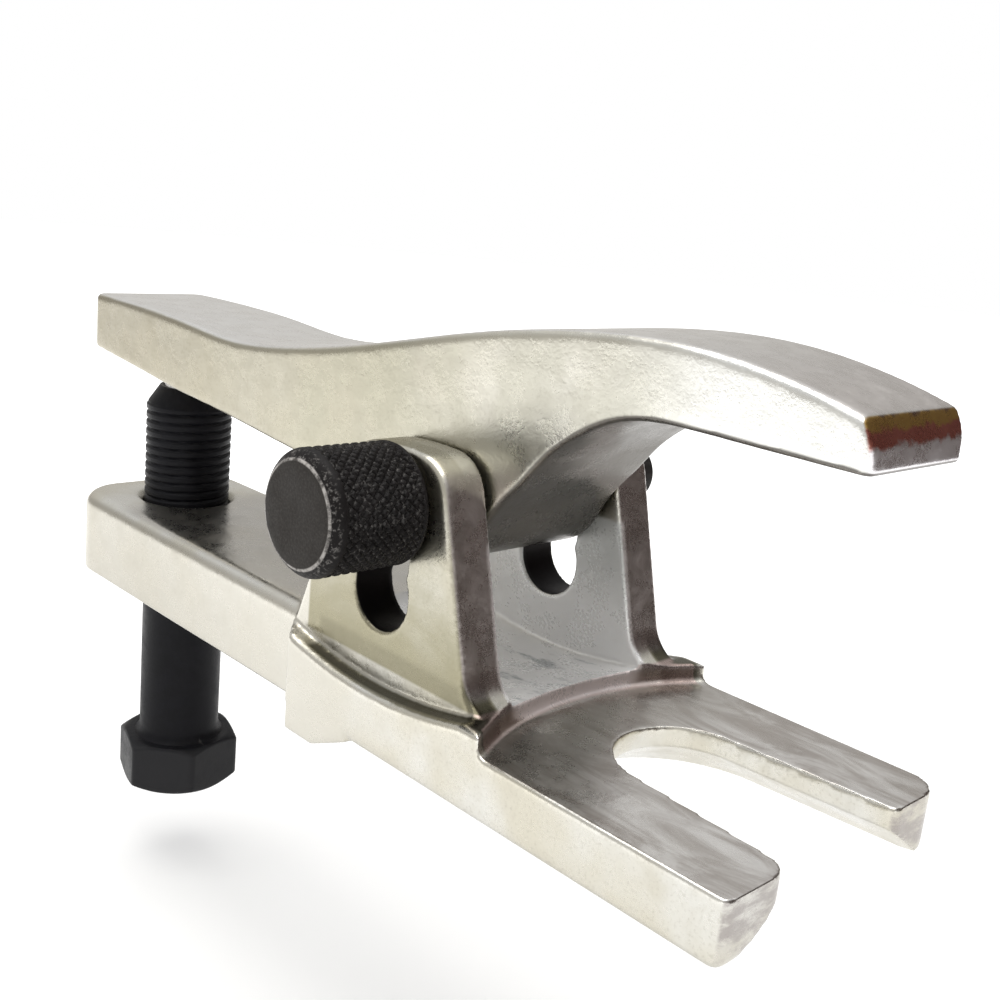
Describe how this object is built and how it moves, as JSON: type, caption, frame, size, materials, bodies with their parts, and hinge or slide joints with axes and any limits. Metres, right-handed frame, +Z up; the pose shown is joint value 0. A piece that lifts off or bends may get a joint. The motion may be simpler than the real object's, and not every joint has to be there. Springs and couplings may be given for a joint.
{
  "type": "ball joint separator",
  "caption": "Scissor-type ball joint separator: forked lower jaw with two ears, pivoting upper lever, knurled pull-pin pivot and a hex-headed pressure screw under the lever.",
  "frame": {"origin": "centre of the rounded throat of the fork slot, on the fork's top face, where the ball stud sits", "axes": "+X forward out past the fork tips, +Z up from the fork towards the pressing nose, the knurled knob on the -Y side"},
  "size_m": [0.1503, 0.0584, 0.0985],
  "materials": {
    "plated_jaw": "satin nickel plating over a forged surface",
    "plated_lever": "satin nickel plating over a forged surface",
    "black_screw": "black oxide",
    "black_pin": "black oxide",
    "black_knob": "black oxide, diamond knurl",
    "bright_ball": "polished hardened steel",
    "spring_steel": "oiled spring wire"
  },
  "bodies": {
    "jaw": {"lower_jaw": "plated_jaw"},
    "lever": {"upper_lever": "plated_lever"},
    "ball": {"thrust_ball": "bright_ball"},
    "screw": {"pressure_screw": "black_screw"},
    "pin": {"pivot_pin": "black_pin", "knob": "black_knob", "far_bush": "black_pin", "retaining_clip": "black_pin", "pin_spring": "spring_steel"}
  },
  "joints": [
    {"name": "screw_feed", "type": "slide", "parent": "jaw", "child": "ball", "axis": [0, 0, 1], "range_m": [-0.016, 0.0018]},
    {"name": "screw_turn", "type": "hinge", "parent": "ball", "child": "screw", "pos_m": [-0.1133, 0, 0], "axis": [0, 0, 1], "range_deg": [-3845, 435]},
    {"name": "lever_swing", "type": "hinge", "parent": "jaw", "child": "lever", "pos_m": [-0.0346, 0, 0.02375], "axis": [0, 1, 0], "range_deg": [-11.7, 1.4]},
    {"name": "pin_pull", "type": "slide", "parent": "jaw", "child": "pin", "axis": [0, -1, 0], "range_m": [0, 0.0076], "stiffness_N_per_m": 1500, "springref_m": -0.005, "deforming": ["pin_spring"]}
  ],
  "couplings": [
    {"joint": "screw_turn", "follows": "screw_feed", "rad_per_m": 4188.8},
    {"joint": "lever_swing", "follows": "screw_feed", "rad_per_m": 12.6}
  ]
}
